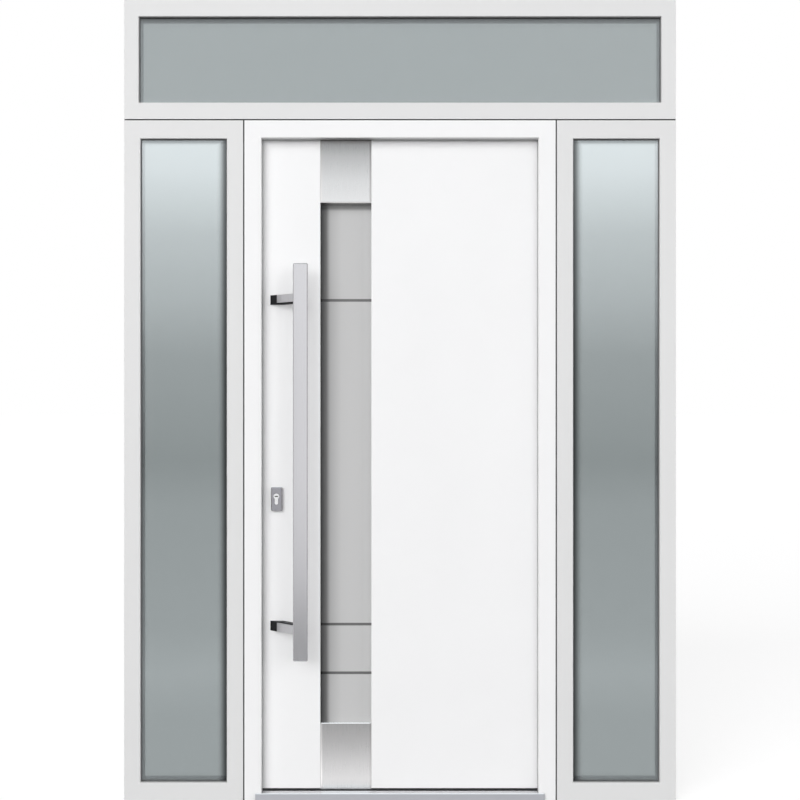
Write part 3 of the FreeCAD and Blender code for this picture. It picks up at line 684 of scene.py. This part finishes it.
def makeFloor():
    half = floorLook["size"] / 2
    mesh = bpy.data.meshes.new("floor")
    corners = [(-half, -half, 0.0), (half, -half, 0.0), (half, half, 0.0), (-half, half, 0.0)]
    mesh.from_pydata(corners, [], [(0, 1, 2, 3)])
    mesh.materials.append(makePaleFloor())
    floor = bpy.data.objects.new("floor", mesh)
    scene.collection.objects.link(floor)
    floor.visible_glossy = False
    return floor


floor = makeFloor()


# light: a soft key from the upper left in two shares, a softer side light from the right, wide soft
# boxes on the street and room sides, a plain dome; only the key and the dome light the floor, the side
# light passes over the slot's pane, and the pull handle shades only the first share of the key

lightLook = {
    "key": {"towards": (0.45, 1.0, -0.42), "shares": (0.85, 0.85), "angle": 40.0},
    "side": {"towards": (-1.15, 1.0, -0.12), "share": 1.06, "angle": 60.0},
    "front": {"place": (0.0, -5.0, 2.0), "towards": (0.0, 1.0, 0.0), "size": (8.0, 2.5), "power": 60.0},
    "room": {"place": (0.0, 4.5, 2.2), "towards": (0.0, -1.0, 0.0), "size": (8.0, 2.5), "power": 190.0},
    "dome": (0.345, 0.345, 0.348),
    "backdrop": (1.0, 1.0, 1.0),
}


def addLamp(name, kind, towards):
    lamp = bpy.data.lights.new(name, kind)
    holder = bpy.data.objects.new(name, lamp)
    holder.rotation_euler = Vector(towards).to_track_quat("-Z", "Y").to_euler()
    holder.visible_glossy = False
    holder.visible_transmission = False
    scene.collection.objects.link(holder)
    return lamp, holder


def addFarLamp(name, towards, share, angle):
    lamp, holder = addLamp(name, "SUN", towards)
    lamp.energy = share
    lamp.angle = math.radians(angle)
    return holder


def addSoftBox(name, place, towards, size, power):
    lamp, holder = addLamp(name, "AREA", towards)
    holder.location = place
    lamp.shape = "RECTANGLE"
    lamp.size, lamp.size_y = size
    lamp.energy = power
    return holder


def leaveOut(name, members):
    # a set that a lamp's light or shadow passes over
    group = bpy.data.collections.new(name)
    for member in members:
        group.objects.link(member)
    for member in group.collection_objects:
        member.light_linking.link_state = "EXCLUDE"
    return group


def makeLamps():
    look = lightLook["key"]
    for name, share in zip(("keyLight", "keyLightPassing"), look["shares"]):
        key = addFarLamp(name, look["towards"], share, look["angle"])
    handle = [nodes[name] for name in ("pull_bar", "pull_brackets", "pull_feet")]
    key.light_linking.blocker_collection = leaveOut("keyPasses", handle)  # the second share
    side = addFarLamp("sideLight", **lightLook["side"])
    side.light_linking.receiver_collection = leaveOut("sidePasses", [floor, nodes["slot_glass"]])
    boxesPass = leaveOut("boxesPass", [floor])
    for name in ("front", "room"):
        box = addSoftBox(name + "Light", **lightLook[name])
        box.light_linking.receiver_collection = boxesPass


makeLamps()


# what shiny faces mirror: plain soft steps of grey, by height in front and behind, with one set for
# the steel near the middle and one for the panes, and from side to side for the flanks

mirrorLook = {
    "gain": 2.2,
    "span": 0.34,  # sine of the highest angle
    "middleTint": (1.0, 0.995, 1.01),
    "middle": [
        (-0.240, 1.05), (-0.205, 0.45), (-0.180, 0.26), (-0.140, 0.90), (-0.060, 1.12),
        (0.204, 1.12), (0.212, 0.72),
    ],
    "sideTint": (0.905, 0.968, 1.0),
    "side": [
        (-0.225, 0.48), (-0.195, 0.60), (-0.165, 0.47), (-0.078, 0.40), (-0.045, 0.26), (0.032, 0.47),
        (0.070, 0.80), (0.120, 1.16), (0.165, 1.84), (0.190, 2.02), (0.204, 2.02), (0.212, 0.72),
        (0.274, 0.72), (0.280, 1.50),
    ],
    "sideAbove": 0.209,  # over this sine the side set runs right across
    "sideSpread": [(0.0, 0.0), (0.090, 0.0), (0.122, 1.0), (0.190, 1.0), (0.220, 0.0)],
    "flank": [(0.0, 0.72), (0.08, 0.80), (0.16, 1.25), (0.30, 1.10), (0.70, 0.80), (0.80, 0.55), (1.0, 0.62)],
    "flankSpread": [(0.0, 0.0), (0.30, 0.0), (0.42, 1.0)],
    "mattBounces": 0.5,  # under this the ray has met no matt face
}


def addSteps(tree, level, stops, color):
    gain = mirrorLook["gain"]
    backdrop = addNode(tree, "ShaderNodeBackground")
    backdrop.inputs["Strength"].default_value = gain
    shades = addRamp(tree, level, [(place, tint(color, value / gain)) for place, value in stops])
    tree.links.new(shades, backdrop.inputs["Color"])
    return backdrop.outputs["Background"]


def addPlain(tree, color):
    backdrop = addNode(tree, "ShaderNodeBackground")
    backdrop.inputs["Color"].default_value = (*color, 1.0)
    return backdrop.outputs["Background"]


def addMirrored(tree):
    look = mirrorLook
    span = look["span"]
    direction = addAxes(tree, "Generated")
    across = direction["X"]
    upward = direction["Z"]
    height = addSpan(tree, upward, -span, span)
    sets = []
    for name in ("middle", "side"):
        stops = [((sine + span) / (2 * span), value) for sine, value in look[name]]
        sets.append(addSteps(tree, height, stops, look[name + "Tint"]))
    aside = addMath(tree, "ABSOLUTE", across, 0.0)
    above = addMath(tree, "GREATER_THAN", upward, look["sideAbove"])
    share = addMath(tree, "MAXIMUM", addSpread(tree, aside, look["sideSpread"]), above)
    front = addMix(tree, share, *sets)
    flank = addSteps(tree, addSpan(tree, across, -1.0, 1.0), look["flank"], look["middleTint"])
    return addMix(tree, addSpread(tree, aside, look["flankSpread"]), front, flank)


def makeWorld():
    world = bpy.data.worlds.new("studio")
    scene.world = world
    world.use_nodes = True
    tree = world.node_tree
    tree.nodes.clear()
    output = addNode(tree, "ShaderNodeOutputWorld")
    path = addNode(tree, "ShaderNodeLightPath").outputs
    direct = addMath(tree, "LESS_THAN", path["Diffuse Depth"], mirrorLook["mattBounces"])
    mirrored = addMath(tree, "MULTIPLY", path["Is Glossy Ray"], direct)
    shiny = addMix(tree, mirrored, addPlain(tree, lightLook["dome"]), addMirrored(tree))
    seen = addMath(tree, "MAXIMUM", path["Is Camera Ray"], path["Is Transmission Ray"])
    whole = addMix(tree, seen, shiny, addPlain(tree, lightLook["backdrop"]))
    tree.links.new(whole, output.inputs["Surface"])


makeWorld()
print("stage and light done")


# camera: straight on, the frame's street face fills the picture's height

cameraLook = {
    "pictureSize": 800,
    "metresPerPixel": 0.00295,
    "distance": 4.0,
    "floorRow": 801.0,
    "sensor": 36.0,
}


def makeCamera():
    look = cameraLook
    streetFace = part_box("door_frame_head")[0].y
    height = (look["floorRow"] - look["pictureSize"] / 2) * look["metresPerPixel"]
    data = bpy.data.cameras.new("streetView")
    data.sensor_width = look["sensor"]
    data.lens = look["sensor"] * look["distance"] / (look["pictureSize"] * look["metresPerPixel"])
    camera = bpy.data.objects.new("streetView", data)
    camera.location = (0.0, streetFace - look["distance"], height)
    camera.rotation_euler = (math.radians(90.0), 0.0, 0.0)
    scene.collection.objects.link(camera)
    scene.camera = camera


makeCamera()
scene.view_settings.view_transform = "Standard"
print("camera done")
